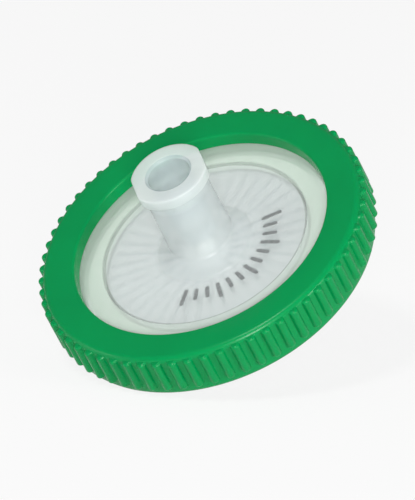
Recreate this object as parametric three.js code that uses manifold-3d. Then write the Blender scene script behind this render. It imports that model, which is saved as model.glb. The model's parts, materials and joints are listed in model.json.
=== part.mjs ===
// Disc syringe filter with an overmoulded grip ring, in millimetres, +Z up.
//
// Two translucent polypropylene halves clamp a membrane between them, and a ribbed ring is
// moulded round their rims. The inlet half carries a female Luer lock, the outlet half a male
// Luer slip. Every piece is drawn about the filter's own axis, inlet up, with z = 0 at the
// membrane. The finished filter is then leaned over until it rests on the ring's rim and on
// the outlet's tip, as it lies on a bench.

import * as THREE from 'three';
import { mergeVertices } from 'three/addons/utils/BufferGeometryUtils.js';
import Module from 'manifold-3d';

// ---------------------------------------------------------------- driving dimensions

// Membrane: its diameter sets the others, outwards to the ring
const membraneDiameter = 25;
const membraneThickness = 0.15;
const membraneMargin = 0.5; // from its rim to the inlet half's skirt
const clampWidth = 2.3; // how much of its rim the halves hold

// Grip ring
const ringHeight = 5.1;
const ringWall = 1.85; // between the flanges and the ribs
const ringEdgeRadius = 0.65; // outer edges
const inletGrip = 1.5; // how far the ring reaches in over the inlet flange
const outletGrip = 1.1; // and over the outlet flange
const openingEdgeRadius = 0.25;
const openingDraft = 0.1; // how much each opening's wall narrows inwards, on the radius
const ribCount = 64;
const ribWidth = 0.95; // at the root
const ribHeight = 0.5;
const ribEndRound = 0.25;
const inletLip = 0.35; // plain band between the inlet face and the ribs
const outletLip = 1.1; // plain band between the ribs and the outlet face

// Housing halves
const housingHeight = 2.4; // between the two outer faces
const flangeEdgeRadius = 0.15;
const skirtWall = 1.6; // of the inlet half, round the outlet half
const skirtDepth = 0.4; // how far the skirt reaches past the membrane
const windowMargin = 0.3; // from the chamber to the edge of the window over it
const windowStep = 0.25; // how much lower the window lies than the flange
const windowBevel = 0.15; // width of the slope down to the window
const windowWall = 0.5;
const mouldClearance = 0.05; // between pieces that are welded, clamped or moulded together

// Flow ribs under the inlet half, long and short in turn
const flowRibCount = 40;
const flowRibWidth = 0.35;
const longRibStart = 2.6; // radius
const shortRibStart = 6.2; // radius

// Membrane support in the outlet half: rings, cut through by drains
const supportRingCount = 6;
const supportRingWidth = 0.55;
const supportStart = 2; // radius of the innermost ring
const drainCount = 8;
const drainWidth = 0.8;

// Inlet: female Luer lock
const luerTaper = 0.06; // on the diameter, for each millimetre of length
const inletReach = 8.55; // mouth above the ring's face
const socketMouthDiameter = 4.3;
const socketDepth = 8;
const socketChamfer = 0.25;
const inletBoreDiameter = 2.4;
const barrelMouthDiameter = 6.3;
const barrelBaseDiameter = 6.6;
const barrelEdgeRadius = 0.15;
const hubFootDiameter = 10;
const hubFootHeight = 1.3;
const lugSpan = 7.8; // over the rounded sides of both lugs
const lugFlats = 7.2; // over the two flat sides between them
const lugThickness = 1.2;
const lugBevel = 0.3;
const lugTurn = 139; // degrees from +X to the first lug

// Outlet: male Luer slip
const outletReach = 9.8; // tip below the ring's face
const coneTipDiameter = 4;
const coneTipRadius = 0.15;
const outletBoreDiameter = 2.2;
const collarLength = 3.55; // from the housing's face
const collarStep = 0.32; // how far it stands out from the cone's root
const collarEdgeRadius = 0.3;
const outletFootRadius = 0.6;

// Fineness of the round forms
const housingSegments = 48;
const cornerSteps = 2;
const ribSteps = 4;

// ---------------------------------------------------------------- derived sizes

const membraneRadius = membraneDiameter / 2;
const chamberRadius = membraneRadius - clampWidth;
const windowRadius = chamberRadius + windowMargin;
const skirtRadius = membraneRadius + membraneMargin;
const flangeRadius = skirtRadius + skirtWall;
const channelRadius = flangeRadius + mouldClearance;
const rootRadius = channelRadius + ringWall;
const ringFace = ringHeight / 2;
const housingFace = housingHeight / 2;
const windowFace = housingFace - windowStep;
const chamberCeiling = windowFace - windowWall;
const seat = membraneThickness / 2 + mouldClearance; // the halves' faces next to the membrane
const inletMouth = ringFace + inletReach;
const outletTip = -(ringFace + outletReach);
const socketFloor = inletMouth - socketDepth;
const lugRadius = lugSpan / 2;
const coneTipOuter = coneTipDiameter / 2;
const collarEnd = -(housingFace + collarLength);
const coneRootRadius = coneTipOuter + ((collarEnd - outletTip) * luerTaper) / 2;
const collarRadius = coneRootRadius + collarStep;
const embed = 0.1; // how far a rib or lug reaches into the wall that carries it

// ---------------------------------------------------------------- shaping helpers

const wasm = await Module();
wasm.setup();

/** A closed mesh as a solid that can be joined and cut. */
function toSolid(geometry) {
  const bare = geometry.clone();
  bare.deleteAttribute('normal');
  bare.deleteAttribute('uv');
  const merged = mergeVertices(bare, 1e-5);
  return new wasm.Manifold(
    new wasm.Mesh({
      numProp: 3,
      vertProperties: new Float32Array(merged.attributes.position.array),
      triVerts: new Uint32Array(merged.index.array),
    }),
  );
}

/** A solid as geometry that a mesh can show. */
function toGeometry(body) {
  const { vertProperties, triVerts } = body.getMesh();
  const geometry = new THREE.BufferGeometry();
  geometry.setAttribute('position', new THREE.BufferAttribute(vertProperties, 3));
  geometry.setIndex(new THREE.BufferAttribute(triVerts, 1));
  geometry.computeVertexNormals();
  return geometry;
}

/** Replaces each corner [r, z, radius] of a closed outline that has a radius with an arc. */
function rounded(outline) {
  return outline.flatMap(([r, z, radius], i) => {
    if (!radius) return [[r, z]];
    const corner = new THREE.Vector2(r, z);
    const [before, after] = [outline.at(i - 1), outline[(i + 1) % outline.length]].map(
      ([pr, pz]) => new THREE.Vector2(pr, pz).sub(corner).normalize(),
    );
    const halfAngle = Math.acos(before.dot(after)) / 2;
    const middle = before.clone().add(after).setLength(radius / Math.sin(halfAngle));
    const centre = corner.clone().add(middle);
    const reach = radius / Math.tan(halfAngle);
    const from = corner.clone().addScaledVector(before, reach).sub(centre);
    const sweep = (Math.PI - 2 * halfAngle) * Math.sign(before.cross(after)) * -1;
    return Array.from({ length: cornerSteps + 1 }, (_, k) => {
      const spoke = from.clone().rotateAround(new THREE.Vector2(), (sweep * k) / cornerSteps);
      return spoke.add(centre).toArray();
    });
  });
}

/** Turns a closed outline of [r, z] points, listed counter-clockwise, about the axis. */
function revolve(outline, segments) {
  const points = [...outline, outline[0]].map(([r, z]) => new THREE.Vector2(r, z));
  const halfStep = Math.PI / segments; // a flat, not a corner, faces -Y
  const lathe = new THREE.LatheGeometry(points, segments, halfStep, 2 * Math.PI);
  return toSolid(lathe.rotateX(Math.PI / 2));
}

/** Copies of a solid at even turns about the axis, joined. */
function around(body, count) {
  const turns = Array.from({ length: count }, (_, k) => body.rotate([0, 0, (360 * k) / count]));
  return wasm.Manifold.union(turns);
}

/** A straight bar along +X from one radius to another, centred on y = 0. */
function radialBar(fromRadius, toRadius, width, bottom, top) {
  const length = toRadius - fromRadius;
  const bar = new THREE.BoxGeometry(length, width, top - bottom);
  return toSolid(bar.translate(fromRadius + length / 2, 0, (top + bottom) / 2));
}

// ---------------------------------------------------------------- grip ring

/** The ring's section: an inward-facing channel that grips both flanges. */
function ringSection() {
  const channel = housingFace + mouldClearance;
  const inletOpening = flangeRadius - inletGrip;
  const outletOpening = flangeRadius - outletGrip;
  return rounded([
    [outletOpening, -ringFace, openingEdgeRadius],
    [rootRadius, -ringFace, ringEdgeRadius],
    [rootRadius, ringFace, ringEdgeRadius],
    [inletOpening, ringFace, openingEdgeRadius],
    [inletOpening - openingDraft, channel],
    [channelRadius, channel],
    [channelRadius, -channel],
    [outletOpening - openingDraft, -channel],
  ]);
}

/** One grip rib along the axis on the side that faces +X, with rounded ends. */
function gripRib() {
  const halfWidth = ribWidth / 2;
  const bottom = -ringFace + outletLip;
  const top = ringFace - inletLip;
  const section = new THREE.Shape();
  section.moveTo(rootRadius - ribHeight, -halfWidth);
  section.lineTo(rootRadius, -halfWidth);
  section.absellipse(rootRadius, 0, ribHeight, halfWidth, -Math.PI / 2, Math.PI / 2);
  section.lineTo(rootRadius - ribHeight, halfWidth);
  const rib = new THREE.ExtrudeGeometry(section, {
    depth: top - bottom - 2 * ribEndRound,
    curveSegments: ribSteps / 2,
    bevelThickness: ribEndRound,
    bevelSize: ribEndRound,
    bevelOffset: -ribEndRound,
    bevelSegments: 1,
  });
  return toSolid(rib.translate(0, 0, bottom + ribEndRound));
}

function gripRing() {
  const band = revolve(ringSection(), ribCount);
  return band.add(around(gripRib(), ribCount));
}

// ---------------------------------------------------------------- inlet half

/** The inlet half's section, from its skirt round the flange, hub and socket to its seat. */
function inletSection() {
  const socketRadius = (z) => (socketMouthDiameter - (inletMouth - z) * luerTaper) / 2;
  const inletBore = inletBoreDiameter / 2;
  return rounded([
    [skirtRadius, -skirtDepth],
    [flangeRadius, -skirtDepth],
    [flangeRadius, housingFace, flangeEdgeRadius],
    [windowRadius + windowBevel, housingFace],
    [windowRadius, windowFace],
    [hubFootDiameter / 2, windowFace],
    [barrelBaseDiameter / 2, windowFace + hubFootHeight],
    [barrelMouthDiameter / 2, inletMouth, barrelEdgeRadius],
    [socketMouthDiameter / 2 + socketChamfer, inletMouth],
    [socketRadius(inletMouth - socketChamfer), inletMouth - socketChamfer],
    [socketRadius(socketFloor), socketFloor],
    [inletBore, socketFloor],
    [inletBore, chamberCeiling],
    [chamberRadius, chamberCeiling],
    [chamberRadius, seat],
    [skirtRadius, seat],
  ]);
}

/** Both lock lugs: a bevelled collar at the mouth, cut off flat on two sides. */
function lockLugs() {
  const barrelRadius = barrelMouthDiameter / 2;
  const inner = (barrelRadius + socketMouthDiameter / 2) / 2;
  const underside = inletMouth - lugThickness;
  const collar = revolve(
    [
      [inner, underside - lugBevel],
      [barrelRadius, underside - lugBevel],
      [lugRadius, underside],
      [lugRadius, inletMouth],
      [inner, inletMouth],
    ],
    housingSegments,
  );
  const height = lugThickness + 2 * lugBevel;
  const slab = new THREE.BoxGeometry(lugSpan, lugFlats, height);
  slab.rotateZ(THREE.MathUtils.degToRad(lugTurn));
  return collar.intersect(toSolid(slab.translate(0, 0, inletMouth + embed - height / 2)));
}

function inletHousing() {
  const top = chamberCeiling + embed;
  const end = chamberRadius + embed;
  const longRib = radialBar(longRibStart, end, flowRibWidth, seat, top);
  const shortRib = radialBar(shortRibStart, end, flowRibWidth, seat, top);
  const pairs = flowRibCount / 2;
  return revolve(inletSection(), housingSegments)
    .add(around(longRib, pairs))
    .add(around(shortRib.rotate([0, 0, 180 / pairs]), pairs))
    .add(lockLugs());
}

// ---------------------------------------------------------------- outlet half

/** The teeth of the membrane support, from the chamber's wall inwards to the bore. */
function supportTeeth() {
  const pitch = (chamberRadius - supportStart) / supportRingCount;
  const halfWidth = supportRingWidth / 2;
  return Array.from({ length: supportRingCount }, (_, k) => {
    const middle = supportStart + pitch * (supportRingCount - 1 - k);
    return [
      [middle + halfWidth, -chamberCeiling],
      [middle + halfWidth, -seat],
      [middle - halfWidth, -seat],
      [middle - halfWidth, -chamberCeiling],
    ];
  }).flat();
}

/** The outlet half's section, from its tip up the cone, collar and flange to the support. */
function outletSection() {
  const bore = outletBoreDiameter / 2;
  const weldRadius = skirtRadius - mouldClearance;
  const weldFace = -(skirtDepth + mouldClearance);
  return rounded([
    [bore, outletTip],
    [coneTipOuter, outletTip, coneTipRadius],
    [coneRootRadius, collarEnd],
    [collarRadius, collarEnd, collarEdgeRadius],
    [collarRadius, -windowFace, outletFootRadius],
    [windowRadius, -windowFace],
    [windowRadius + windowBevel, -housingFace],
    [flangeRadius, -housingFace, flangeEdgeRadius],
    [flangeRadius, weldFace],
    [weldRadius, weldFace],
    [weldRadius, -seat],
    [chamberRadius, -seat],
    [chamberRadius, -chamberCeiling],
    ...supportTeeth(),
    [bore, -chamberCeiling],
  ]);
}

function outletHousing() {
  const drain = radialBar(outletBoreDiameter / 2, chamberRadius, drainWidth, -chamberCeiling, 0);
  return revolve(outletSection(), housingSegments).subtract(around(drain, drainCount));
}

// ---------------------------------------------------------------- membrane

function membraneDisc() {
  const sizes = [membraneRadius, membraneRadius, membraneThickness, housingSegments];
  const disc = new THREE.CylinderGeometry(...sizes);
  return toSolid(disc.rotateX(Math.PI / 2));
}

// ---------------------------------------------------------------- assembly

const polypropylene = { color: '#e4ebe9', roughness: 0.28, transparent: true, opacity: 0.55 };
const pieces = {
  overmold_ring: [gripRing(), { color: '#00964b', roughness: 0.3 }],
  inlet_housing: [inletHousing(), polypropylene],
  membrane: [membraneDisc(), { color: '#f4f5f2', roughness: 0.9 }],
  outlet_housing: [outletHousing(), polypropylene],
};

const filter = new THREE.Group();
for (const [name, [body, finish]] of Object.entries(pieces)) {
  const material = new THREE.MeshStandardMaterial({ metalness: 0, ...finish });
  const mesh = new THREE.Mesh(toGeometry(body), material);
  mesh.name = name;
  filter.add(mesh);
}

/** The lean at which a flat floor touches both the outlet's tip and the ring's rim. */
function restingLean() {
  const acrossRim = coneTipOuter - coneTipRadius - (rootRadius - ringEdgeRadius);
  const downAxis = ringFace - ringEdgeRadius + outletTip + coneTipRadius;
  const apart = Math.hypot(acrossRim, downAxis);
  const radii = Math.asin((ringEdgeRadius - coneTipRadius) / apart);
  return Math.PI - radii - Math.atan2(-downAxis, acrossRim);
}

// The inlet leans towards -Y, and the origin is on the floor below the middle of the filter.
filter.rotation.x = restingLean();
const box = new THREE.Box3().setFromObject(filter, true);
const middle = box.getCenter(new THREE.Vector3());
filter.position.set(-middle.x, -middle.y, -box.min.z);

const syringeFilter = new THREE.Group();
syringeFilter.add(filter);

export default syringeFilter;
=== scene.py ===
"""Fine surfaces, finishes and studio for the disc syringe filter.

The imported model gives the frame: where the filter's own axis lies, how far its ends reach and
what it rests on. Every piece is drawn about that axis in millimetres, inlet up, with height 0 at
the membrane, and is then set into the frame in metres.
"""

import json
import logging
import math
from collections.abc import Callable, Iterable, Sequence
from dataclasses import dataclass
from enum import Enum
from functools import partial

import bmesh
import bpy
import numpy as np
from mathutils import Matrix, Vector


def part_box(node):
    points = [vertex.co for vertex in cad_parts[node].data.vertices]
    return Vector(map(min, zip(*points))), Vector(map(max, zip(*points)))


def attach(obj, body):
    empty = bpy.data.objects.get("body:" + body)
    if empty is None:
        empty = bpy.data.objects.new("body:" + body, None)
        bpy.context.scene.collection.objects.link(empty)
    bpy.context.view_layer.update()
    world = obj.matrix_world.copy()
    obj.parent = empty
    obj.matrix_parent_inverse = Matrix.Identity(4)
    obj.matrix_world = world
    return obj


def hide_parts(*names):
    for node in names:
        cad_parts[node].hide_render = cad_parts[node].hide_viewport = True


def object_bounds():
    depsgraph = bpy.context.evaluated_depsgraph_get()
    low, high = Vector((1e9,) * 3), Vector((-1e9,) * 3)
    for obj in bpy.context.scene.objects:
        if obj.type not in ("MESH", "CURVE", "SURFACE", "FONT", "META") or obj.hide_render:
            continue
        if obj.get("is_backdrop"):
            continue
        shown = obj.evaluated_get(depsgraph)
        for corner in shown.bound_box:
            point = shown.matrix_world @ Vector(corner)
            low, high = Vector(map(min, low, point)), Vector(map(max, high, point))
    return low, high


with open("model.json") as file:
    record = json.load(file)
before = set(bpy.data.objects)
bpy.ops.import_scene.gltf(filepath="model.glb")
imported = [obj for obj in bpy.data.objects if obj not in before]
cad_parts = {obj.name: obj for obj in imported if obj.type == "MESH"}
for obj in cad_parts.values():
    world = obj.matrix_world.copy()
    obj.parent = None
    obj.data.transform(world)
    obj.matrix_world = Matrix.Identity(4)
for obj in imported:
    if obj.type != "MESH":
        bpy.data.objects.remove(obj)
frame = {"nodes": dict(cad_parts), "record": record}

log = logging.getLogger("syringe_filter")

MM = 0.001  # metres in a millimetre
CREASE = math.radians(32)  # edges sharper than this stay crisp
SAME_SPOT = 1e-5  # points that lie closer than this, in millimetres, are one
QUARTER_TURN = math.pi / 2
NodeOrSocket = bpy.types.Node | bpy.types.NodeSocket


class Slot(Enum):
    """The record's material slots."""

    RING = "ring_polypropylene"
    HOUSING = "clear_polypropylene"
    MEMBRANE = "membrane"


class Joining(Enum):
    """How a pattern of tools changes the piece that it meets."""

    UNION = "UNION"
    DIFFERENCE = "DIFFERENCE"


# ---------------------------------------------------------------- node trees


def add_node(
    tree: bpy.types.NodeTree, kind: str, inputs: dict | None = None, **settings: object
) -> bpy.types.Node:
    """Adds a node, sets its properties and fills its inputs.

    Args:
        tree: The tree that gets the node.
        kind: The node's type name.
        inputs: Values by socket name or number. A socket, or a node for its first output, is
            linked, and anything else is set as the socket's own value.
        settings: The node's properties.

    Returns:
        The new node.
    """
    node = tree.nodes.new(kind)
    for name, value in settings.items():
        setattr(node, name, value)
    for key, value in (inputs or {}).items():
        if isinstance(value, bpy.types.Node):
            value = value.outputs[0]
        if isinstance(value, bpy.types.NodeSocket):
            tree.links.new(value, node.inputs[key])
        else:
            node.inputs[key].default_value = value
    return node


def linear(hex_colour: str) -> tuple[float, float, float, float]:
    """Turns an sRGB colour such as "#00964b" to linear red, green, blue and alpha."""
    channels = [int(hex_colour[i : i + 2], 16) / 255 for i in (1, 3, 5)]
    return (*(c / 12.92 if c <= 0.04045 else ((c + 0.055) / 1.055) ** 2.4 for c in channels), 1.0)


def per_metre(size_mm: float) -> float:
    """The texture scale at which one feature is this many millimetres wide."""
    return 1 / (size_mm * MM)


# ---------------------------------------------------------------- finishes


class Surface:
    """A material that is being made, with patterns on the piece's own coordinates."""

    def __init__(self, name: str) -> None:
        """Opens the material.

        Args:
            name: What the surface is made of.
        """
        self.material = bpy.data.materials.new(name)
        self.material.use_nodes = True
        self.tree = self.material.node_tree
        self.shader = self.tree.nodes["Principled BSDF"]
        self.add = partial(add_node, self.tree)
        self.place = self.add("ShaderNodeTexCoord").outputs["Object"]

    def relief(self, width_mm: float, height_mm: float, detail: float) -> None:
        """Gives the surface a random relief.

        Args:
            width_mm: Width of its largest bumps.
            height_mm: How high they stand.
            detail: How many finer layers lie on them.
        """
        bumps = self.add(
            "ShaderNodeTexNoise",
            {"Vector": self.place, "Scale": per_metre(width_mm), "Detail": detail},
        )
        relief = self.add(
            "ShaderNodeBump", {"Height": bumps, "Distance": height_mm * MM, "Strength": 1.0}
        )
        self.tree.links.new(relief.outputs[0], self.shader.inputs["Normal"])

    def mottle(self, colour: str, other: str, patch_mm: float) -> None:
        """Lets the colour drift between two tones in soft patches.

        Args:
            colour: The first tone.
            other: The second tone.
            patch_mm: Width of a patch.
        """
        patches = self.add(
            "ShaderNodeTexNoise",
            {"Vector": self.place, "Scale": per_metre(patch_mm), "Detail": 2.0},
        )
        tones = {0: patches, 6: linear(colour), 7: linear(other)}
        tone = self.add("ShaderNodeMix", tones, data_type="RGBA")
        self.tree.links.new(tone.outputs[2], self.shader.inputs["Base Color"])

    def finish(self, constants: dict[str, float | Sequence[float]]) -> bpy.types.Material:
        """Sets what is the same all over the surface on the shader's own sockets.

        Args:
            constants: The values by socket name.

        Returns:
            The finished material.
        """
        for socket, value in constants.items():
            self.shader.inputs[socket].default_value = value
        return self.material


@dataclass(frozen=True)
class PigmentedPolypropylene:
    """Pigmented polypropylene, moulded over the housing: an even, satin green with a soft gloss.

    Attributes:
        colour: Its colour.
        deep_colour: Its colour where the pigment streamed a little denser.
        stream_mm: Width of such a stream.
        grain_mm: Width of the mould's spark grain, which is finer and drawn as coarse as it shows.
        grain_height_mm: Height of that grain.
        roughness: Its roughness.
    """

    colour: str = "#00924d"
    deep_colour: str = "#008648"
    stream_mm: float = 6.0
    grain_mm: float = 0.25
    grain_height_mm: float = 0.004
    roughness: float = 0.26

    def material(self) -> bpy.types.Material:
        """Builds the material.

        Returns:
            The finished material.
        """
        surface = Surface("pigmented_polypropylene")
        surface.mottle(self.colour, self.deep_colour, self.stream_mm)
        surface.relief(self.grain_mm, self.grain_height_mm, detail=3.0)
        return surface.finish(
            {
                "Roughness": self.roughness,
                "IOR": 1.49,
                "Specular IOR Level": 0.17,
                "Subsurface Weight": 0.15,
                "Subsurface Radius": (0.2, 1.0, 0.4),  # green light spreads furthest
                "Subsurface Scale": 0.6 * MM,
            }
        )


class Along(Enum):
    """What a zone of the clear plastic is measured along."""

    RADIUS = "radius"
    HEIGHT = "height"


@dataclass(frozen=True)
class Zone:
    """A stretch of the clear plastic that has a look of its own.

    Attributes:
        along: Whether it is bounded by radius or by height.
        start: Where it starts to show, in millimetres.
        full: Where nothing shows of what lay there before.
        colour: Its colour.
        opacity: How much it hides of what lies behind, from 0 to 1.
    """

    along: Along
    start: float
    full: float
    colour: str
    opacity: float


@dataclass(frozen=True)
class NaturalPolypropylene:
    """Natural polypropylene, injection moulded: milky and see-through, with a smooth gloss.

    Thick plastic looks milkier, so the head with its lugs hides more than the rest. The socket
    is painted darker and bluer, as painted shade in its hollow, from its mouth down to 3 to 6 mm
    below it. The fold from the window up to the flange carries a painted grey line of shade. The
    flange is painted a lighter green, as painted light that the green ring throws on it. Each zone
    lies over those before it, and colour and opacity are what no zone covers.
    """

    zones: tuple[Zone, ...]
    colour: str = "#e0e8e9"
    opacity: float = 0.36
    roughness: float = 0.24
    waviness_mm: float = 2.5  # width of the soft waves that moulding leaves
    waviness_height_mm: float = 0.01

    @classmethod
    def for_filter(cls, mouth_mm: float) -> "NaturalPolypropylene":
        """Spreads the plastic's looks over the filter.

        Args:
            mouth_mm: Height of the inlet's mouth.

        Returns:
            The finish of both halves.
        """
        lugs = mouth_mm - InletHalf.lug_thickness
        head_fade = 1.6  # below the lugs
        socket = InletHalf.socket + InletHalf.socket_chamfer
        rim_fade = 0.05  # to both sides of the socket's rim
        socket_shade_end, plain_start = mouth_mm - 3.0, mouth_mm - 6.0  # heights in the socket
        foot, foot_fade = InletHalf.foot, 0.75
        fold, shade_line_half, shade_line_fade = Housing.window, 0.08, 0.22
        return cls(
            zones=(
                Zone(Along.HEIGHT, lugs - head_fade, lugs, "#eaf2f1", 0.52),
                # painted shade: the socket is painted darker and bluer than the plastic round it,
                # where light is lost in the hollow
                Zone(Along.RADIUS, socket + rim_fade, socket - rim_fade, "#c6d3d7", 0.45),
                # below these heights the plain colour comes back, which ends the socket's painted
                # shade
                Zone(Along.HEIGHT, socket_shade_end, plain_start, "#e0e8e9", 0.36),
                Zone(Along.RADIUS, foot - foot_fade, foot + foot_fade, "#e2eaea", 0.36),
                # painted shade: a grey line painted round the fold, where the step down to the
                # window lies in shade
                Zone(Along.RADIUS, fold - shade_line_fade, fold - shade_line_half, "#9da6a1", 0.4),
                # painted light: the flange is painted a lighter green for the green light that the
                # ring throws on it
                Zone(Along.RADIUS, fold + shade_line_half, fold + shade_line_fade, "#e6f7ea", 0.36),
            )
        )

    def spread(self, surface: Surface, about: Matrix) -> None:
        """Takes each point's colour and opacity from where it lies about the axis.

        Args:
            surface: The material that is being made.
            about: Where the filter's axis lies, and the millimetre that is its unit.
        """
        add, shader = surface.add, surface.shader
        spot, turn, unit = about.decompose()
        frame_to_axis = {"Location": spot, "Rotation": turn.to_euler(), "Scale": unit}
        own = add(
            "ShaderNodeMapping", {"Vector": surface.place, **frame_to_axis}, vector_type="TEXTURE"
        )
        flat = add("ShaderNodeVectorMath", {0: own, 1: (1, 1, 0)}, operation="MULTIPLY")
        radius = add("ShaderNodeVectorMath", {0: flat}, operation="LENGTH")
        measures = {
            Along.RADIUS: radius.outputs["Value"],
            Along.HEIGHT: add("ShaderNodeSeparateXYZ", {0: own}).outputs["Z"],
        }
        colour, opacity = linear(self.colour), self.opacity
        for zone in self.zones:
            inside = add(
                "ShaderNodeMapRange",
                {"Value": measures[zone.along], "From Min": zone.start, "From Max": zone.full},
            )
            colours = {0: inside, 6: colour, 7: linear(zone.colour)}
            colour = add("ShaderNodeMix", colours, data_type="RGBA").outputs[2]
            opacities = {0: inside, 2: opacity, 3: zone.opacity}
            opacity = add("ShaderNodeMix", opacities).outputs[0]
        surface.tree.links.new(colour, shader.inputs["Base Color"])
        surface.tree.links.new(opacity, shader.inputs["Alpha"])

    def material(self, about: Matrix) -> bpy.types.Material:
        """Builds the material.

        Args:
            about: Where the axis of the pieces lies, and the millimetre that is its unit.

        Returns:
            The material for pieces about this axis.
        """
        surface = Surface("natural_polypropylene")
        self.spread(surface, about)
        surface.relief(self.waviness_mm, self.waviness_height_mm, detail=1.0)
        return surface.finish(
            {
                "Roughness": self.roughness,
                "IOR": 1.49,
                "Subsurface Weight": 0.4,
                "Subsurface Radius": (1.0, 1.0, 1.0),
                "Subsurface Scale": 1.2 * MM,
            }
        )


@dataclass(frozen=True)
class CastMembrane:
    """Cast polymer membrane: matt and white, with pores too fine to see.

    Attributes:
        colour: Its colour.
        pore_mm: Width of a pore, which is far finer and drawn as coarse as it shows.
        pore_height_mm: Depth of a pore.
    """

    colour: str = "#f2f4f1"
    pore_mm: float = 0.12
    pore_height_mm: float = 0.01

    def material(self) -> bpy.types.Material:
        """Builds the material.

        Returns:
            The finished material.
        """
        surface = Surface("cast_membrane")
        surface.relief(self.pore_mm, self.pore_height_mm, detail=2.0)
        return surface.finish(
            {"Base Color": linear(self.colour), "Roughness": 0.85, "IOR": 1.4}
        )


@dataclass(frozen=True)
class PadPrintInk:
    """Pad-printed ink: a thin dark grey film, a little uneven where the pad lifted."""

    colour: str = "#6c6f70"
    thin_colour: str = "#969a99"  # where little ink came off the pad
    blotch_mm: float = 0.5

    def material(self) -> bpy.types.Material:
        """Builds the material.

        Returns:
            The finished material.
        """
        surface = Surface("pad_print_ink")
        surface.mottle(self.colour, self.thin_colour, self.blotch_mm)
        return surface.finish({"Roughness": 0.6})


@dataclass(frozen=True)
class SeamlessPaper:
    """White backdrop paper: it looks white where no shadow falls, and keeps the shadow."""

    colour: str = "#f4f4f4"
    whiteness: float = 0.85  # share of plain white that the camera, gloss and clear parts see

    def material(self) -> bpy.types.Material:
        """Builds the material.

        Returns:
            The finished material.
        """
        material = bpy.data.materials.new("seamless_paper")
        material.use_nodes = True
        tree = material.node_tree
        tree.nodes.clear()
        add = partial(add_node, tree)
        paper = add("ShaderNodeBsdfDiffuse", {"Color": linear(self.colour)})
        glow = add("ShaderNodeEmission", {"Color": linear("#ffffff"), "Strength": 1.0})
        rays = add("ShaderNodeLightPath").outputs
        seen = rays["Is Camera Ray"]
        for ray in ("Is Glossy Ray", "Is Transmission Ray"):
            seen = add("ShaderNodeMath", {0: seen, 1: rays[ray]}, operation="MAXIMUM")
        share = add("ShaderNodeMath", {0: seen, 1: self.whiteness}, operation="MULTIPLY")
        blend = add("ShaderNodeMixShader", {0: share, 1: paper, 2: glow})
        add("ShaderNodeOutputMaterial", {"Surface": blend})
        return material


# ---------------------------------------------------------------- shapes about the axis


@dataclass(frozen=True)
class Corner:
    """One corner of a section: its radius and height, both in millimetres.

    Attributes:
        radius: Distance from the axis.
        height: Height along the axis.
        round: How far before and after the corner its rounding starts.
        lug: 1 where the lock lugs push the outline out, and 0 elsewhere.
    """

    radius: float
    height: float
    round: float = 0.0
    lug: float = 0.0

    @property
    def row(self) -> np.ndarray:
        """The corner as radius, height and lug share."""
        return np.array([self.radius, self.height, self.lug])


def soften(outline: Sequence[Corner], steps: int = 6) -> np.ndarray:
    """Replaces each rounded corner of a closed section with a curve.

    Args:
        outline: The corners, counter-clockwise with the radius to the right.
        steps: Straight steps in each curve.

    Returns:
        One row of radius, height and lug share for each point.
    """
    rows = []
    for i, corner in enumerate(outline):
        here = corner.row
        if not corner.round:
            rows.append(here)
            continue
        arms = []
        for other in (outline[i - 1].row, outline[(i + 1) % len(outline)].row):
            arms.append((other - here) / np.linalg.norm((other - here)[:2]) * corner.round)
        for t in np.linspace(0, 1, steps + 1):
            rows.append(here + arms[0] * (1 - t) ** 2 + arms[1] * t**2)
    return np.array(rows)


def even_angles(count: int) -> np.ndarray:
    """Even turns about the axis, in radians."""
    return np.linspace(0, math.tau, count, endpoint=False)


def revolve(
    name: str,
    rows: np.ndarray,
    angles: np.ndarray,
    reach: Callable[[np.ndarray], np.ndarray] | None = None,
) -> bpy.types.Object:
    """Turns a closed section about the axis to a closed body, in millimetres.

    Args:
        name: The piece's name.
        rows: Radius, height and lug share of each point of the section.
        angles: The turns at which the section stands, in radians.
        reach: How far a full lug share pushes the outline out, by angle.

    Returns:
        An object that isn't yet set into the frame.
    """
    push = reach(angles) if reach else np.zeros(len(angles))
    radius = rows[:, 0, None] + rows[:, 2, None] * push[None, :]
    height = np.repeat(rows[:, 1, None], len(angles), axis=1)
    points = np.stack([radius * np.cos(angles), radius * np.sin(angles), height], axis=-1)
    index = np.arange(radius.size).reshape(radius.shape)
    above = np.roll(index, -1, axis=0)
    faces = np.stack(
        [index, np.roll(index, -1, axis=1), np.roll(above, -1, axis=1), above], axis=-1
    )
    mesh = bpy.data.meshes.new(name)
    mesh.from_pydata(points.reshape(-1, 3).tolist(), [], faces.reshape(-1, 4).tolist())
    shape = bmesh.new()
    shape.from_mesh(mesh)
    bmesh.ops.remove_doubles(shape, verts=shape.verts, dist=SAME_SPOT)  # closes the poles
    bmesh.ops.recalc_face_normals(shape, faces=shape.faces)
    shape.to_mesh(mesh)
    shape.free()
    return bpy.data.objects.new(name, mesh)


def named_inputs(part: object) -> dict[str, float | int | bpy.types.Material]:
    """The fields of a dataclass, each under its name as a tree's input."""
    return {name.replace("_", " ").title(): size for name, size in vars(part).items()}


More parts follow.
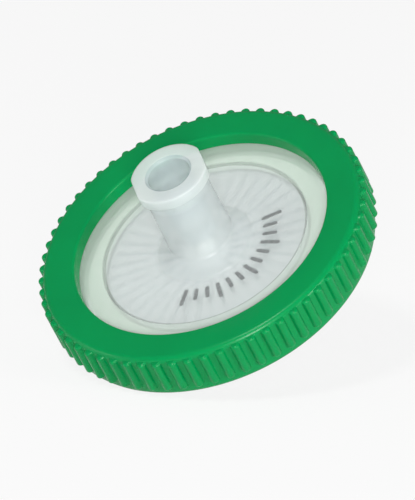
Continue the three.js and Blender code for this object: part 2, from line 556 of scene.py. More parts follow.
class Pattern:
    """A Geometry Nodes tree with named inputs, which is run once on a piece."""

    KINDS = {
        int: "NodeSocketInt",
        float: "NodeSocketFloat",
        bpy.types.Material: "NodeSocketMaterial",
    }

    def __init__(self, name: str, sizes: dict[str, float | int | bpy.types.Material]) -> None:
        """Opens the tree.

        Args:
            name: The tree's name.
            sizes: The named inputs and what this run sets them to.
        """
        self.sizes = sizes
        self.tree = bpy.data.node_groups.new(name, "GeometryNodeTree")
        sockets = self.tree.interface
        sockets.new_socket("Geometry", in_out="INPUT", socket_type="NodeSocketGeometry")
        sockets.new_socket("Geometry", in_out="OUTPUT", socket_type="NodeSocketGeometry")
        for label, value in sizes.items():
            sockets.new_socket(label, in_out="INPUT", socket_type=self.KINDS[type(value)])
        self.add = partial(add_node, self.tree)
        self.inputs = self.add("NodeGroupInput").outputs

    def spokes(
        self,
        item: bpy.types.Node,
        turn: bpy.types.Node,
        middle: bpy.types.Node,
        height: bpy.types.Node,
        scale: bpy.types.Node | None = None,
    ) -> bpy.types.Node:
        """Sets copies of an item round the axis, each of them pointing away from it.

        Args:
            item: The item, which lies along X.
            turn: How far each copy is turned about the axis.
            middle: How far its middle lies from the axis.
            height: How high its middle lies.
            scale: How much it is stretched each way, if it is.

        Returns:
            The node that gives the copies, as many as the input Count says.
        """
        out = self.add("ShaderNodeCombineXYZ", {"X": middle, "Z": height})
        place = self.add(
            "ShaderNodeVectorRotate", {"Vector": out, "Angle": turn}, rotation_type="Z_AXIS"
        )
        copies = {
            "Points": self.add(
                "GeometryNodePoints", {"Count": self.inputs["Count"], "Position": place}
            ),
            "Instance": item,
            "Rotation": self.add("ShaderNodeCombineXYZ", {"Z": turn}),
        }
        if scale:
            copies["Scale"] = scale
        return self.add("GeometryNodeInstanceOnPoints", copies)

    def finish(self, shape: bpy.types.Node) -> None:
        """Ends the tree in Realize Instances and Set Material.

        Args:
            shape: The node that gives the finished shape.
        """
        real = self.add("GeometryNodeRealizeInstances", {"Geometry": shape})
        dressed = self.add(
            "GeometryNodeSetMaterial", {"Geometry": real, "Material": self.inputs["Material"]}
        )
        self.add("NodeGroupOutput", {"Geometry": dressed})

    def run(self, piece: bpy.types.Object) -> bpy.types.Object:
        """Runs the tree on a piece and gives it the result as its plain mesh.

        Args:
            piece: An object that isn't in the scene yet.

        Returns:
            The same object.
        """
        bpy.context.scene.collection.objects.link(piece)
        modifier = piece.modifiers.new(self.tree.name, "NODES")
        modifier.node_group = self.tree
        for socket in self.tree.interface.items_tree:
            if socket.in_out == "INPUT" and socket.name in self.sizes:
                modifier[socket.identifier] = self.sizes[socket.name]
        evaluated = piece.evaluated_get(bpy.context.evaluated_depsgraph_get())
        mesh = bpy.data.meshes.new_from_object(evaluated)
        piece.modifiers.remove(modifier)
        piece.data = mesh
        bpy.context.scene.collection.objects.unlink(piece)
        return piece


@dataclass(frozen=True)
class RadialBars:
    """Straight bars that point away from the axis at even turns, long and short in turn.

    Attributes:
        count: Number of bars, all together.
        long_start: Radius at which every other bar starts.
        short_start: Radius at which the bars between them start.
        end: Radius at which all of them end.
        width: Width across a bar.
        bottom: Lowest height.
        top: Highest height.
    """

    count: int
    long_start: float
    short_start: float
    end: float
    width: float
    bottom: float
    top: float

    def meet(
        self, piece: bpy.types.Object, joining: Joining, material: bpy.types.Material
    ) -> bpy.types.Object:
        """Joins the bars to a piece, or cuts them out of it.

        Args:
            piece: The closed body that the bars meet.
            joining: Whether they are added or cut out.
            material: The piece's material.

        Returns:
            The same object with its new mesh.
        """
        pattern = Pattern(
            f"radial_bars_{joining.name.lower()}", {**named_inputs(self), "Material": material}
        )
        add, size = pattern.add, pattern.inputs
        number = add("GeometryNodeInputIndex")
        odd = add("ShaderNodeMath", {0: number, 1: 2.0}, operation="FLOORED_MODULO")
        start = add("ShaderNodeMix", {0: odd, 2: size["Long Start"], 3: size["Short Start"]})
        turn = add("ShaderNodeMath", {0: number, 1: size["Count"]}, operation="DIVIDE")
        turn = add("ShaderNodeMath", {0: turn, 1: math.tau}, operation="MULTIPLY")
        spans, middles = [], []
        for low, high in ((start, size["End"]), (size["Bottom"], size["Top"])):
            spans.append(add("ShaderNodeMath", {0: high, 1: low}, operation="SUBTRACT"))
            both = add("ShaderNodeMath", {0: high, 1: low}, operation="ADD")
            middles.append(add("ShaderNodeMath", {0: both, 1: 0.5}, operation="MULTIPLY"))
        scale = add("ShaderNodeCombineXYZ", {"X": spans[0], "Y": size["Width"], "Z": spans[1]})
        bars = pattern.spokes(add("GeometryNodeMeshCube"), turn, *middles, scale)
        bars = add("GeometryNodeRealizeInstances", {"Geometry": bars})
        # A cut names the body that it cuts, and a union takes all its bodies in one socket
        kept = "Mesh 1" if joining is Joining.DIFFERENCE else "Mesh 2"
        met = add(
            "GeometryNodeMeshBoolean",
            {kept: size["Geometry"]},
            operation=joining.value,
            solver="MANIFOLD",
        )
        pattern.tree.links.new(bars.outputs[0], met.inputs["Mesh 2"])
        pattern.finish(met)
        return pattern.run(piece)


# ---------------------------------------------------------------- where it lies


@dataclass(frozen=True)
class Placement:
    """Where the filter's own axis lies in the frame, and how far its parts reach along it."""

    matrix: Matrix

    @classmethod
    def from_frame(cls, record: dict) -> "Placement":
        """Reads the axis from the inlet's mouth, and the middle from the membrane.

        Args:
            record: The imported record.

        Returns:
            The placement of a piece drawn in millimetres about its own axis.
        """
        mouth = next(m for m in record["mounts"] if m["name"] == "inlet_mouth")
        up = Vector(mouth["axis"]).normalized()
        across = Vector((1, 0, 0))
        low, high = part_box("membrane")
        turn = Matrix((across, up.cross(across), up)).transposed().to_4x4()
        return cls(Matrix.Translation((low + high) / 2) @ turn @ Matrix.Scale(MM, 4))

    def points(self, node: str) -> list[Vector]:
        """The points of the CAD node of this name, in millimetres about the axis."""
        back = self.matrix.inverted()
        return [back @ v.co for v in frame["nodes"][node].data.vertices]

    def reach(self, node: str) -> tuple[float, float]:
        """Heights of the lowest and the highest point of the CAD node of this name."""
        heights = [point.z for point in self.points(node)]
        return min(heights), max(heights)

    def girth(self, node: str) -> float:
        """Largest radius about the axis of the CAD node of this name."""
        return max(point.xy.length for point in self.points(node))

    def settle(
        self, piece: bpy.types.Object, replaces: Iterable[str] = ()
    ) -> bpy.types.Object:
        """Args:
            piece: The finished piece, in millimetres about its own axis.
            replaces: The CAD nodes that it stands for.

        Returns:
            The same object, at the origin with its place in its mesh.
        """
        mesh = piece.data
        mesh.transform(self.matrix)
        mesh.shade_smooth()
        mesh.set_sharp_from_angle(angle=CREASE)
        bpy.context.scene.collection.objects.link(piece)
        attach(piece, "root")
        if replaces:
            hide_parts(*replaces)
        log.info("%s: %d faces", piece.name, len(mesh.polygons))
        return piece


# ---------------------------------------------------------------- grip ring


@dataclass(frozen=True)
class GripRing:
    """The green ring: a channel that grips both flanges, with ribs round its outside.

    Attributes:
        crest: Radius over the ribs.
        face: Height of the inlet face, and depth of the outlet face.
        edge: Radius of the outer edges.
        inlet_opening: Radius of the opening round the inlet.
        outlet_opening: Radius of the opening round the outlet.
        opening_edge: Rounding of the openings' edges.
        draft: How much each opening narrows inwards.
        channel: Half height of the channel round the flanges.
        channel_radius: Radius of the channel's floor.
        ribs: Number of grip ribs.
        rib_width: Width of a rib at its root.
        rib_height: How far a rib stands out.
        rib_round: Rounding of a rib's ends.
        rib_foot: Rounding where a rib meets the wall.
        inlet_lip: Plain band between the inlet face and the ribs.
        outlet_lip: Plain band between the ribs and the outlet face.
        round_steps: Straight steps in the rounding of an outer edge or a rib's end.
        flank_steps: Straight steps from a rib's middle to its side.
    """

    crest: float
    face: float
    material: bpy.types.Material
    edge: float = 0.65
    inlet_opening: float = 13.1
    outlet_opening: float = 13.5
    opening_edge: float = 0.25
    draft: float = 0.1
    channel: float = 1.25
    channel_radius: float = 14.65
    ribs: int = 64
    rib_width: float = 0.95
    rib_height: float = 0.5
    rib_round: float = 0.25
    rib_foot: float = 0.08
    inlet_lip: float = 0.35
    outlet_lip: float = 1.1
    round_steps: int = 8
    flank_steps: int = 6

    @property
    def root(self) -> float:
        """Radius of the wall between the ribs."""
        return self.crest - self.rib_height

    def wall(self, height: float) -> float:
        """Radius of the outer wall at a height, rounded at both faces."""
        past = max(0.0, abs(height) - (self.face - self.edge))
        return self.root - self.edge + math.sqrt(max(0.0, self.edge**2 - past**2))

    def section(self) -> np.ndarray:
        """Draws the ring's section, with rows close together where a rib ends.

        Returns:
            The rows of a closed section, as `revolve` takes them.
        """
        low, high = self.rib_ends()
        quarter = np.linspace(0, QUARTER_TURN, self.round_steps + 1)
        fillets = self.face - self.edge + self.edge * np.sin(quarter)
        ends = self.rib_round * (1 - np.cos(quarter))
        beyond = 0.001  # a row just past each end of the ribs keeps the wall there true
        decimals = 4  # heights that agree to here lie on one row
        past_ends = {low - beyond, high + beyond}
        heights = {*fillets, *-fillets, *(low + ends), *(high - ends), *past_ends}
        outer = [Corner(self.wall(z), z) for z in sorted(round(z, decimals) for z in heights)]
        inner = soften(
            [
                outer[-1],
                Corner(self.inlet_opening, self.face, self.opening_edge),
                Corner(self.inlet_opening - self.draft, self.channel),
                Corner(self.channel_radius, self.channel),
                Corner(self.channel_radius, -self.channel),
                Corner(self.outlet_opening - self.draft, -self.channel),
                Corner(self.outlet_opening, -self.face, self.opening_edge),
                outer[0],
            ]
        )
        return np.vstack([inner[1:-1], [corner.row for corner in outer]])

    def rib_ends(self) -> tuple[float, float]:
        """Lower and upper end of the ribs."""
        return -self.face + self.outlet_lip, self.face - self.inlet_lip

    def angles(self) -> np.ndarray:
        """Spreads the section round the axis, close together on each rib's flanks.

        Returns:
            The turns at which it stands, in radians.
        """
        half = self.rib_width / 2
        pitch = math.tau * self.root / self.ribs
        flank = half * np.sin(np.linspace(0, QUARTER_TURN, self.flank_steps + 1))
        foot_shares = np.array([0.25, 0.6, 1.0])  # closer where the foot bends most
        foot = half + self.rib_foot * foot_shares
        valley = np.array([(half + self.rib_foot + pitch / 2) / 2])
        side = np.concatenate([flank, foot, valley])
        across = np.concatenate([-side[:0:-1], side, [pitch / 2]]) / pitch
        turns = np.arange(self.ribs)[:, None] + across[None, :]
        return turns.ravel() * math.tau / self.ribs

    def off_middle(self, pattern: Pattern, axes: bpy.types.bpy_prop_collection) -> bpy.types.Node:
        """Adds how far round the wall a point lies from the nearest rib's middle.

        Args:
            pattern: The tree that raises the ribs.
            axes: The point's X, Y and Z.

        Returns:
            The node that gives the distance.
        """
        add, size = pattern.add, pattern.inputs
        angle = add("ShaderNodeMath", {0: axes["Y"], 1: axes["X"]}, operation="ARCTAN2")
        step = add("ShaderNodeMath", {0: math.tau, 1: size["Ribs"]}, operation="DIVIDE")
        turns = add("ShaderNodeMath", {0: angle, 1: step}, operation="DIVIDE")
        nearest = add("ShaderNodeMath", {0: turns}, operation="ROUND")
        apart = add("ShaderNodeMath", {0: turns, 1: nearest}, operation="SUBTRACT")
        apart = add("ShaderNodeMath", {0: apart}, operation="ABSOLUTE")
        pitch = add("ShaderNodeMath", {0: step, 1: size["Root Radius"]}, operation="MULTIPLY")
        return add("ShaderNodeMath", {0: apart, 1: pitch}, operation="MULTIPLY")

    def rib_outline(
        self, pattern: Pattern, apart: bpy.types.Node, inside: bpy.types.Node
    ) -> tuple[bpy.types.Node, bpy.types.Node]:
        """Adds the rib's outline: a half-ellipse with rounded ends and a rounding at its foot.

        Args:
            pattern: The tree that raises the ribs.
            apart: How far round the wall a point lies from the nearest rib's middle.
            inside: How far in it lies from the nearer end of the ribs.

        Returns:
            How far the outline stands out there, and the share of the foot's rounding that
            the point is past, which is 1 on the plain wall.
        """
        add, size = pattern.add, pattern.inputs

        def circle(side: bpy.types.Node) -> bpy.types.Node:
            """Adds the height of the unit circle.

            Args:
                side: The distance from its middle.

            Returns:
                The node that gives the height.
            """
            square = add("ShaderNodeMath", {0: side, 1: 2.0}, operation="POWER")
            rest = add("ShaderNodeMath", {0: 1.0, 1: square}, operation="SUBTRACT")
            return add("ShaderNodeMath", {0: rest}, operation="SQRT")

        def taken_off(share: bpy.types.Node, rounding: bpy.types.NodeSocket) -> bpy.types.Node:
            """Adds what a rounding takes off: its radius at share 0, and nothing at share 1.

            Args:
                share: How far along the rounding it is.
                rounding: The rounding's radius.

            Returns:
                The node that gives the length taken off.
            """
            rest = add("ShaderNodeMath", {0: 1.0, 1: share}, operation="SUBTRACT")
            lack = add("ShaderNodeMath", {0: 1.0, 1: circle(rest)}, operation="SUBTRACT")
            return add("ShaderNodeMath", {0: lack, 1: rounding}, operation="MULTIPLY")

        share = add(
            "ShaderNodeMath", {0: inside, 1: size["End Round"]}, operation="DIVIDE", use_clamp=True
        )
        inset = taken_off(share, size["End Round"])
        half = add("ShaderNodeMath", {0: size["Rib Width"], 1: 0.5}, operation="MULTIPLY")
        half = add("ShaderNodeMath", {0: half, 1: inset}, operation="SUBTRACT")
        rise = add("ShaderNodeMath", {0: size["Rib Height"], 1: inset}, operation="SUBTRACT")
        across = add("ShaderNodeMath", {0: apart, 1: half}, operation="DIVIDE", use_clamp=True)
        bulge = add("ShaderNodeMath", {0: circle(across), 1: rise}, operation="MULTIPLY")
        past = add("ShaderNodeMath", {0: apart, 1: half}, operation="SUBTRACT")
        past = add(
            "ShaderNodeMath", {0: past, 1: size["Foot Round"]}, operation="DIVIDE", use_clamp=True
        )
        foot = taken_off(past, size["Foot Round"])
        return add("ShaderNodeMath", {0: bulge, 1: foot}, operation="MAXIMUM"), past

    def ribbed(self, band: bpy.types.Object) -> bpy.types.Object:
        """Raises the ribs out of the band's outer wall by one rule.

        Args:
            band: The ring without its ribs.

        Returns:
            The same object with its new mesh.
        """
        low, high = self.rib_ends()
        slack = 1e-4  # takes in the rows at the very ends of the ribs
        foot_end = 0.999  # share of a foot's rounding at which the plain wall starts
        pattern = Pattern(
            "grip_ribs",
            {
                "Ribs": self.ribs,
                "Rib Width": self.rib_width,
                "Rib Height": self.rib_height,
                "Root Radius": self.root,
                "Wall Start": self.root - self.edge,
                "Low End": low,
                "High End": high,
                "End Round": self.rib_round,
                "Foot Round": self.rib_foot,
                "Material": self.material,
            },
        )
        add, size = pattern.add, pattern.inputs
        place = add("GeometryNodeInputPosition")
        axes = add("ShaderNodeSeparateXYZ", {0: place}).outputs
        flat = add("ShaderNodeCombineXYZ", {"X": axes["X"], "Y": axes["Y"]})
        radius = add("ShaderNodeVectorMath", {0: flat}, operation="LENGTH").outputs["Value"]
        below = add("ShaderNodeMath", {0: axes["Z"], 1: size["Low End"]}, operation="SUBTRACT")
        above = add("ShaderNodeMath", {0: size["High End"], 1: axes["Z"]}, operation="SUBTRACT")
        inside = add("ShaderNodeMath", {0: below, 1: above}, operation="MINIMUM")
        stand, past = self.rib_outline(pattern, self.off_middle(pattern, axes), inside)
        crest = add("ShaderNodeMath", {0: size["Root Radius"], 1: stand}, operation="ADD")
        crest = add("ShaderNodeMath", {0: crest, 1: radius}, operation="MAXIMUM")
        grow = add("ShaderNodeMath", {0: crest, 1: radius}, operation="DIVIDE")
        moved = add("ShaderNodeVectorMath", {0: flat, "Scale": grow}, operation="SCALE")
        moved = add("ShaderNodeSeparateXYZ", {0: moved}).outputs
        target = add("ShaderNodeCombineXYZ", {"X": moved["X"], "Y": moved["Y"], "Z": axes["Z"]})
        # Only points of the outer wall between the ribs' ends, on a rib or its foot, move
        on_wall = add(
            "ShaderNodeMath", {0: radius, 1: size["Wall Start"]}, operation="GREATER_THAN"
        )
        between = add("ShaderNodeMath", {0: inside, 1: -slack}, operation="GREATER_THAN")
        near = add("ShaderNodeMath", {0: past, 1: foot_end}, operation="LESS_THAN")
        moves = add("ShaderNodeMath", {0: on_wall, 1: between}, operation="MULTIPLY")
        moves = add("ShaderNodeMath", {0: moves, 1: near}, operation="MULTIPLY")
        shape = add(
            "GeometryNodeSetPosition",
            {"Geometry": size["Geometry"], "Selection": moves, "Position": target},
        )
        pattern.finish(shape)
        return pattern.run(band)

    def build(self, placement: Placement) -> None:
        """Builds the ring in place of the plain one.

        Args:
            placement: Where the filter lies.
        """
        band = revolve("grip_ring", self.section(), self.angles())
        placement.settle(self.ribbed(band), ["overmold_ring"])


# ---------------------------------------------------------------- housing halves


@dataclass(frozen=True)
class Housing:
    """What both halves share: the flange, the thin window and the chamber round the membrane.

    Attributes:
        flange: Radius of the flange.
        flange_edge: Rounding of its edge.
        face: Height of the outer face.
        window: Radius of the window, which lies lower than the face.
        window_face: Height of the window.
        window_bevel: Width of the slope down to the window.
        fold_round: Rounding at both ends of that slope.
        ceiling: Height of the chamber's ceiling.
        chamber: Radius of the chamber.
        seat: Height of the face next to the membrane.
        skirt: Inner radius of the inlet half's skirt round the outlet half.
        skirt_end: Height at which the skirt ends.
        clearance: Gap between welded or moulded pieces.
        turns: Number of turns at which a half's section stands.
    """

    flange: float = 14.6
    flange_edge: float = 0.15
    face: float = 1.2
    window: float = 10.5
    window_face: float = 0.95
    window_bevel: float = 0.15
    fold_round: float = 0.08
    ceiling: float = 0.45
    chamber: float = 10.2
    seat: float = 0.125
    skirt: float = 13.0
    skirt_end: float = -0.4
    clearance: float = 0.05
    turns: int = 256


@dataclass(frozen=True)
class InletHalf:
    """The inlet half: a female Luer lock hub on a window with flow ribs below.

    Attributes:
        mouth: Height of the hub's mouth.
        socket: Radius of the socket's mouth.
        socket_depth: Depth of the socket.
        socket_chamfer: Chamfer at the socket's mouth.
        taper: Narrowing of the socket's radius for each millimetre.
        bore: Radius of the hole below the socket.
        barrel: Radius of the hub at its mouth.
        barrel_base: Radius of the hub at its foot.
        barrel_edge: Rounding of the hub's outer edge.
        foot: Radius of the cone round the hub's foot.
        foot_height: Height of that cone.
        foot_round: Rounding at both ends of that cone.
        rim_round: Rounding at both ends of the socket's chamfer.
        bore_round: Rounding at the socket's floor and at both ends of the hole.
        lug_radius: Half span over the rounded sides of the lock lugs.
        lug_flat: Half span over the two flat sides between them.
        lug_thickness: Thickness of the lugs at their edge.
        lug_bevel: Height of the slope under the lugs.
        lug_edge: Rounding of the lugs' lower edge.
        lug_foot_round: Rounding where that slope meets the barrel.
        lug_turn: Degrees from across to the first lug.
        ribs: Number of flow ribs under the window, long and short in turn.
        rib_width: Width of a flow rib.
        long_rib: Radius at which the long ones start.
        short_rib: Radius at which the short ones start.
    """

    mouth: float
    material: bpy.types.Material
    housing: Housing = Housing()
    socket: float = 2.15
    socket_depth: float = 8.0
    socket_chamfer: float = 0.25
    taper: float = 0.03
    bore: float = 1.2
    barrel: float = 3.15
    barrel_base: float = 3.3
    barrel_edge: float = 0.15
    foot: float = 5.0
    foot_height: float = 1.3
    foot_round: float = 0.3
    rim_round: float = 0.05
    bore_round: float = 0.1
    lug_radius: float = 3.9
    lug_flat: float = 3.6
    lug_thickness: float = 1.2
    lug_bevel: float = 0.3
    lug_edge: float = 0.15
    lug_foot_round: float = 0.12
    lug_turn: float = 139.0
    ribs: int = 40
    rib_width: float = 0.35
    long_rib: float = 2.6
    short_rib: float = 6.2

    def lug_reach(self, angles: np.ndarray) -> np.ndarray:
        """How far the mouth's outline stands out of the barrel, by angle.

        Args:
            angles: Turns about the axis, in radians.

        Returns:
            The reach in millimetres: round over each lug, and cut off straight between them.
        """
        away = np.abs((angles - math.radians(self.lug_turn)) % math.pi - QUARTER_TURN)
        past_flat = math.pi / 3  # well inside the lugs' arc, where the flat no longer counts
        side = self.lug_flat / np.cos(np.clip(away, 0, past_flat))
        sharpness = 90  # rounds the corner between the arc and the straight side
        reach = (self.lug_radius**-sharpness + side**-sharpness) ** (-1 / sharpness)
        return reach - self.barrel

    def section(self) -> np.ndarray:
        """Draws the half's section, from its skirt up the hub, down the socket and to its seat.

        Returns:
            The rows of a closed section, as `revolve` takes them.
        """
        h = self.housing
        floor = self.mouth - self.socket_depth
        narrow = self.socket - self.socket_depth * self.taper
        below_rim = self.socket - self.socket_chamfer * self.taper
        underside = self.mouth - self.lug_thickness
        lug_foot = underside - self.lug_bevel
        cone = h.window_face + self.foot_height
        slope = (self.barrel_base - self.barrel) / (self.mouth - cone)

        def barrel_at(height: float) -> float:
            """Radius of the tapered hub at a height."""
            return self.barrel + (self.mouth - height) * slope

        return soften(
            [
                Corner(h.skirt, h.skirt_end),
                Corner(h.flange, h.skirt_end),
                Corner(h.flange, h.face, h.flange_edge),
                Corner(h.window + h.window_bevel, h.face, h.fold_round),
                Corner(h.window, h.window_face, h.fold_round),
                Corner(self.foot, h.window_face, self.foot_round),
                Corner(self.barrel_base, cone, self.foot_round),
                Corner(barrel_at(lug_foot), lug_foot, self.lug_foot_round),
                Corner(barrel_at(underside), underside, self.lug_edge, lug=1),
                Corner(self.barrel, self.mouth, self.barrel_edge, lug=1),
                Corner(self.socket + self.socket_chamfer, self.mouth, self.rim_round),
                Corner(below_rim, self.mouth - self.socket_chamfer, self.rim_round),
                Corner(narrow, floor, self.bore_round),
                Corner(self.bore, floor, self.bore_round),
                Corner(self.bore, h.ceiling, self.bore_round),
                Corner(h.chamber, h.ceiling),
                Corner(h.chamber, h.seat),
                Corner(h.skirt, h.seat),
            ]
        )

    def build(self, placement: Placement) -> None:
        """Builds the half in place of the plain one.

        Args:
            placement: Where the filter lies.
        """
        h = self.housing
        shell = revolve("inlet_half", self.section(), even_angles(h.turns), self.lug_reach)
        overlap = 0.1  # how far a rib reaches into the wall that carries it
        ribs = RadialBars(
            count=self.ribs,
            long_start=self.long_rib,
            short_start=self.short_rib,
            end=h.chamber + overlap,
            width=self.rib_width,
            bottom=h.seat,
            top=h.ceiling + overlap,
        )
        shell = ribs.meet(shell, Joining.UNION, self.material)
        placement.settle(shell, ["inlet_housing"])


@dataclass(frozen=True)
class OutletHalf:
    """The outlet half: a male Luer slip with a collar, under a support of rings and drains.

    Attributes:
        tip: Height of the cone's tip, below the membrane.
        cone_tip: Radius of the cone at its tip.
        tip_round: Rounding of the tip's edge.
        taper: Widening of the cone's radius for each millimetre.
        bore: Radius of the hole down the cone.
        collar_length: Length of the collar from the housing's face.
        collar_step: How far the collar stands out from the cone's root.
        collar_edge: Rounding of its edge.
        collar_foot: Rounding where the cone meets the collar.
        foot_round: Rounding where the collar meets the window.
        bore_round: Rounding of the hole's edge at the tip.
        rings: Number of support rings.
        ring_width: Width of a support ring.
        ring_start: Radius of the innermost one.
        drains: Number of drains cut through the rings.
        drain_width: Width of a drain.
    """

    tip: float
    material: bpy.types.Material
    housing: Housing = Housing()
    cone_tip: float = 2.0
    tip_round: float = 0.15
    taper: float = 0.03
    bore: float = 1.1
    collar_length: float = 3.55
    collar_step: float = 0.32
    collar_edge: float = 0.3
    collar_foot: float = 0.02
    foot_round: float = 0.6
    bore_round: float = 0.05
    rings: int = 6
    ring_width: float = 0.55
    ring_start: float = 2.0
    drains: int = 8
    drain_width: float = 0.8

    def support(self) -> list[Corner]:
        """Draws the support rings' section, from the chamber's wall in to the bore.

        Returns:
            Four corners for each ring.
        """
        h = self.housing
        pitch = (h.chamber - self.ring_start) / self.rings
        half = self.ring_width / 2
        middles = [self.ring_start + pitch * k for k in reversed(range(self.rings))]
        return [
            Corner(middle + side, height)
            for middle in middles
            for side, height in (
                (half, -h.ceiling), (half, -h.seat), (-half, -h.seat), (-half, -h.ceiling),
            )
        ]

    def section(self) -> np.ndarray:
        """Draws the half's section, from its tip up the cone, collar and flange to the support.

        Returns:
            The rows of a closed section, as `revolve` takes them.
        """
        h = self.housing
        collar_end = -(h.face + self.collar_length)
        cone_root = self.cone_tip + (collar_end - self.tip) * self.taper
        collar = cone_root + self.collar_step
        weld = h.skirt - h.clearance
        weld_face = h.skirt_end - h.clearance
        return soften(
            [
                Corner(self.bore, self.tip, self.bore_round),
                Corner(self.cone_tip, self.tip, self.tip_round),
                Corner(cone_root, collar_end, self.collar_foot),
                Corner(collar, collar_end, self.collar_edge),
                Corner(collar, -h.window_face, self.foot_round),
                Corner(h.window, -h.window_face, h.fold_round),
                Corner(h.window + h.window_bevel, -h.face, h.fold_round),
                Corner(h.flange, -h.face, h.flange_edge),
                Corner(h.flange, weld_face),
                Corner(weld, weld_face),
                Corner(weld, -h.seat),
                Corner(h.chamber, -h.seat),
                Corner(h.chamber, -h.ceiling),
                *self.support(),
                Corner(self.bore, -h.ceiling),
            ]
        )

    def build(self, placement: Placement) -> None:
        """Builds the half in place of the plain one.

        Args:
            placement: Where the filter lies.
        """
        h = self.housing
        shell = revolve("outlet_half", self.section(), even_angles(h.turns))
        # A drain starts within the hole, ends at the chamber's wall and is open at its top, clear
        # of the rings' seat
        inside_bore, clear_of_seat = self.bore / 2, 0.0
        drains = RadialBars(
            count=self.drains,
            long_start=inside_bore,
            short_start=inside_bore,
            end=h.chamber,
            width=self.drain_width,
            bottom=-h.ceiling,
            top=clear_of_seat,
        )
        shell = drains.meet(shell, Joining.DIFFERENCE, self.material)
        placement.settle(shell, ["outlet_housing"])


@dataclass(frozen=True)
class MembraneDisc:
    """The white membrane between the halves.

    Attributes:
        radius: Its radius.
        thickness: Its thickness.
        edge: Rounding of its edges.
        turns: Number of turns at which its section stands.
    """

    radius: float
    material: bpy.types.Material
    thickness: float = 0.15
    edge: float = 0.05
    turns: int = 96

    def build(self, placement: Placement) -> None:
        """Builds the disc in place of the plain one.

        Args:
            placement: Where the filter lies.
        """
        half = self.thickness / 2
        rows = soften(
            [
                Corner(0.0, -half),
                Corner(self.radius, -half, self.edge),
                Corner(self.radius, half, self.edge),
                Corner(0.0, half),
            ]
        )
        disc = revolve("membrane_disc", rows, even_angles(self.turns))
        disc.data.materials.append(self.material)
        placement.settle(disc, ["membrane"])


@dataclass(frozen=True)
class IndexMarks:
    """Plain strokes printed on the window along an arc, with longer ones at even steps.

    Attributes:
        window_face: Height of the window.
        count: Number of strokes.
        long_every: How many strokes it takes to the next long one.
        first_angle: Degrees at which the arc starts.
        last_angle: Degrees at which it ends.
        inner_radius: Radius at which the strokes start.
        long: Length of a long stroke.
        short: Length of the others.
        width: Width of a stroke.
        film: Thickness of the ink.
        sides: Number of straight sides round both ends of a stroke.
    """

    window_face: float
    material: bpy.types.Material
    count: int = 13
    long_every: int = 3
    first_angle: float = -75.0
    last_angle: float = 45.0
    inner_radius: float = 6.0
    long: float = 2.1
    short: float = 1.5
    width: float = 0.42
    film: float = 0.02
    sides: int = 24

    def build(self, placement: Placement) -> None:
        """Lays the strokes on the window.

        Args:
            placement: Where the filter lies.
        """
        angles = {
            "First Angle": math.radians(self.first_angle),
            "Last Angle": math.radians(self.last_angle),
        }
        pattern = Pattern("index_marks", {**named_inputs(self), **angles})
        add, size = pattern.add, pattern.inputs

        def middle(start: bpy.types.NodeSocket, length: NodeOrSocket) -> bpy.types.Node:
            """Where the middle of a stretch lies, from its start and its length."""
            half = add("ShaderNodeMath", {0: length, 1: 0.5}, operation="MULTIPLY")
            return add("ShaderNodeMath", {0: half, 1: start}, operation="ADD")

        number = add("GeometryNodeInputIndex")
        gaps = add("ShaderNodeMath", {0: size["Count"], 1: 1.0}, operation="SUBTRACT")
        share = add("ShaderNodeMath", {0: number, 1: gaps}, operation="DIVIDE")
        turn = add("ShaderNodeMix", {0: share, 2: size["First Angle"], 3: size["Last Angle"]})
        since = add(
            "ShaderNodeMath", {0: number, 1: size["Long Every"]}, operation="FLOORED_MODULO"
        )
        plain = add("ShaderNodeMath", {0: since, 1: 0.5}, operation="GREATER_THAN")
        length = add("ShaderNodeMix", {0: plain, 2: size["Long"], 3: size["Short"]})
        out = middle(size["Inner Radius"], length)
        lift = middle(size["Window Face"], size["Film"])
        # A round dot of ink for each stroke, which remembers its stroke's turn and length
        radius = add("ShaderNodeMath", {0: size["Width"], 1: 0.5}, operation="MULTIPLY")
        dot = add(
            "GeometryNodeMeshCylinder",
            {"Vertices": size["Sides"], "Radius": radius, "Depth": size["Film"]},
        )
        dots = pattern.spokes(dot, turn, out, lift)
        for label, value in (("turn", turn), ("length", length)):
            dots = add(
                "GeometryNodeStoreNamedAttribute",
                {"Geometry": dots, "Name": label, "Value": value},
                domain="INSTANCE",
            )
        real = add("GeometryNodeRealizeInstances", {"Geometry": dots})
        # Each half of a dot moves away from its middle, which draws it out to a stroke
        own_turn = add("GeometryNodeInputNamedAttribute", {"Name": "turn"})
        own_length = add("GeometryNodeInputNamedAttribute", {"Name": "length"})
        spot = add("GeometryNodeInputPosition")
        back = add("ShaderNodeMath", {0: own_turn, 1: -1.0}, operation="MULTIPLY")
        level = add(
            "ShaderNodeVectorRotate", {"Vector": spot, "Angle": back}, rotation_type="Z_AXIS"
        )
        along = add("ShaderNodeSeparateXYZ", {0: level}).outputs["X"]
        own_out = middle(size["Inner Radius"], own_length)
        side = add("ShaderNodeMath", {0: along, 1: own_out}, operation="SUBTRACT")
        side = add("ShaderNodeMath", {0: side}, operation="SIGN")
        draw = add("ShaderNodeMath", {0: own_length, 1: size["Width"]}, operation="SUBTRACT")
        draw = add("ShaderNodeMath", {0: draw, 1: 0.5}, operation="MULTIPLY")
        draw = add("ShaderNodeMath", {0: draw, 1: side}, operation="MULTIPLY")
        offset = add("ShaderNodeCombineXYZ", {"X": draw})
        offset = add(
            "ShaderNodeVectorRotate", {"Vector": offset, "Angle": own_turn}, rotation_type="Z_AXIS"
        )
        strokes = add("GeometryNodeSetPosition", {"Geometry": real, "Offset": offset})
        pattern.finish(strokes)
        blank = bpy.data.objects.new("index_marks", bpy.data.meshes.new("index_marks"))
        placement.settle(pattern.run(blank))


# ---------------------------------------------------------------- studio


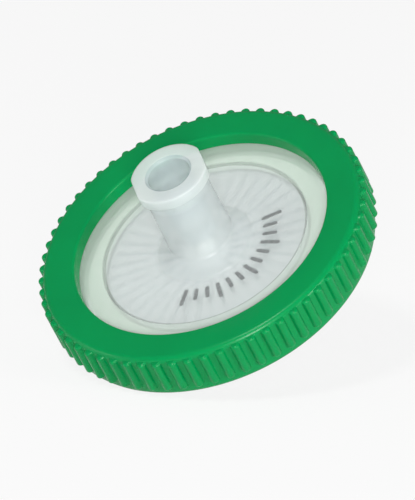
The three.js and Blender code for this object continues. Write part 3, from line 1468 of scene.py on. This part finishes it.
@dataclass(frozen=True)
class Softbox:
    """A square soft light that points at the spot of the floor below the filter.

    Attributes:
        name: Its name.
        azimuth: Degrees round that spot, as the camera's are counted.
        elevation: Degrees above the floor.
        distance: Metres from that spot.
        size: Side of the square in metres.
        power: Power in watts.
    """

    name: str
    azimuth: float
    elevation: float
    distance: float
    size: float
    power: float


def hang(
    name: str, data: bpy.types.ID, aim: Vector, azimuth: float, elevation: float, distance: float
) -> bpy.types.Object:
    """Hangs a lamp or a camera round a spot, and points it there.

    Args:
        name: Its name.
        data: The lamp or camera itself.
        aim: The spot.
        azimuth: Degrees round the spot, from the front towards +X.
        elevation: Degrees above the spot.
        distance: Metres from the spot.

    Returns:
        The new object.
    """
    a, e = math.radians(azimuth), math.radians(elevation)
    way = Vector((math.sin(a) * math.cos(e), -math.cos(a) * math.cos(e), math.sin(e)))
    thing = bpy.data.objects.new(name, data)
    thing.location = aim + way * distance
    thing.rotation_euler = (-way).to_track_quat("-Z", "Y").to_euler()
    bpy.context.scene.collection.objects.link(thing)
    return thing


@dataclass(frozen=True)
class Studio:
    """A white table with soft light, and the camera.

    Attributes:
        paper: What the table is covered with.
        softboxes: The soft lights round the filter.
        room_light: Strength of the light from all round.
        table: Side of the table in metres.
        camera_azimuth: Degrees round the filter at which the camera stands.
        camera_elevation: Its degrees above the floor.
        camera_distance: Its metres from the middle of the filter.
        lens: Its focal length in millimetres.
    """

    paper: bpy.types.Material
    softboxes: tuple[Softbox, ...] = (
        Softbox("top_light", azimuth=5, elevation=58, distance=0.7, size=0.12, power=1.5),
        Softbox("front_light", azimuth=40, elevation=14, distance=0.8, size=0.15, power=4.1),
        Softbox("right_light", azimuth=92, elevation=10, distance=0.8, size=0.2, power=2.5),
        Softbox("left_light", azimuth=-45, elevation=8, distance=0.8, size=0.3, power=0.8),
    )
    room_light: float = 0.3
    table: float = 4.0
    camera_azimuth: float = 38.4
    camera_elevation: float = 15.8
    camera_distance: float = 0.675
    lens: float = 500.0

    def light(self) -> None:
        """Hangs the softboxes, and sets the room's light, which the camera sees as white."""
        for box in self.softboxes:
            lamp = bpy.data.lights.new(box.name, "AREA")
            lamp.size = box.size
            lamp.energy = box.power
            hang(box.name, lamp, Vector(), box.azimuth, box.elevation, box.distance)
        world = bpy.data.worlds.new("studio")
        bpy.context.scene.world = world
        world.use_nodes = True
        tree = world.node_tree
        tree.nodes.clear()
        add = partial(add_node, tree)
        seen = add("ShaderNodeLightPath").outputs["Is Camera Ray"]
        strength = add("ShaderNodeMix", {0: seen, 2: self.room_light, 3: 1.0})
        room = add("ShaderNodeBackground", {"Strength": strength})
        add("ShaderNodeOutputWorld", {"Surface": room})

    def floor(self, height: float) -> None:
        """Lays the table's white paper.

        Args:
            height: Its height in metres.
        """
        half = self.table / 2
        mesh = bpy.data.meshes.new("table_top")
        corners = [(-half, -half), (half, -half), (half, half), (-half, half)]
        mesh.from_pydata([(x, y, height) for x, y in corners], [], [(0, 1, 2, 3)])
        mesh.materials.append(self.paper)
        table = bpy.data.objects.new("table_top", mesh)
        bpy.context.scene.collection.objects.link(table)
        table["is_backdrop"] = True

    def camera(self, low: Vector, high: Vector) -> None:
        """Sets the camera, aimed at the middle of the filter's box.

        Args:
            low: The box's lowest corner.
            high: The box's highest corner.
        """
        view = bpy.data.cameras.new("camera")
        view.lens = self.lens
        view.clip_start = 0.01
        view.clip_end = 10.0
        place = self.camera_azimuth, self.camera_elevation, self.camera_distance
        bpy.context.scene.camera = hang("camera", view, (low + high) / 2, *place)


def main() -> None:
    """Builds every piece round the frame, then the studio, with the floor under the pieces and the
    camera aimed at the imported model's box.
    """
    logging.basicConfig(level=logging.INFO, format="%(name)s: %(message)s")
    bpy.context.scene.view_settings.view_transform = "Standard"
    cad_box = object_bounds()
    placement = Placement.from_frame(frame["record"])
    mouth = placement.reach("inlet_housing")[1]
    clear = NaturalPolypropylene.for_filter(mouth).material(placement.matrix)
    GripRing(
        crest=placement.girth("overmold_ring"),
        face=placement.reach("overmold_ring")[1],
        material=PigmentedPolypropylene().material(),
    ).build(placement)
    MembraneDisc(
        radius=placement.girth("membrane"), material=CastMembrane().material()
    ).build(placement)
    InletHalf(mouth=mouth, material=clear).build(placement)
    OutletHalf(tip=placement.reach("outlet_housing")[0], material=clear).build(placement)
    IndexMarks(
        window_face=Housing().window_face, material=PadPrintInk().material()
    ).build(placement)
    visual_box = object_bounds()
    studio = Studio(paper=SeamlessPaper().material())
    studio.light()
    studio.floor(visual_box[0].z)
    studio.camera(*cad_box)


if __name__ == "__main__":
    main()
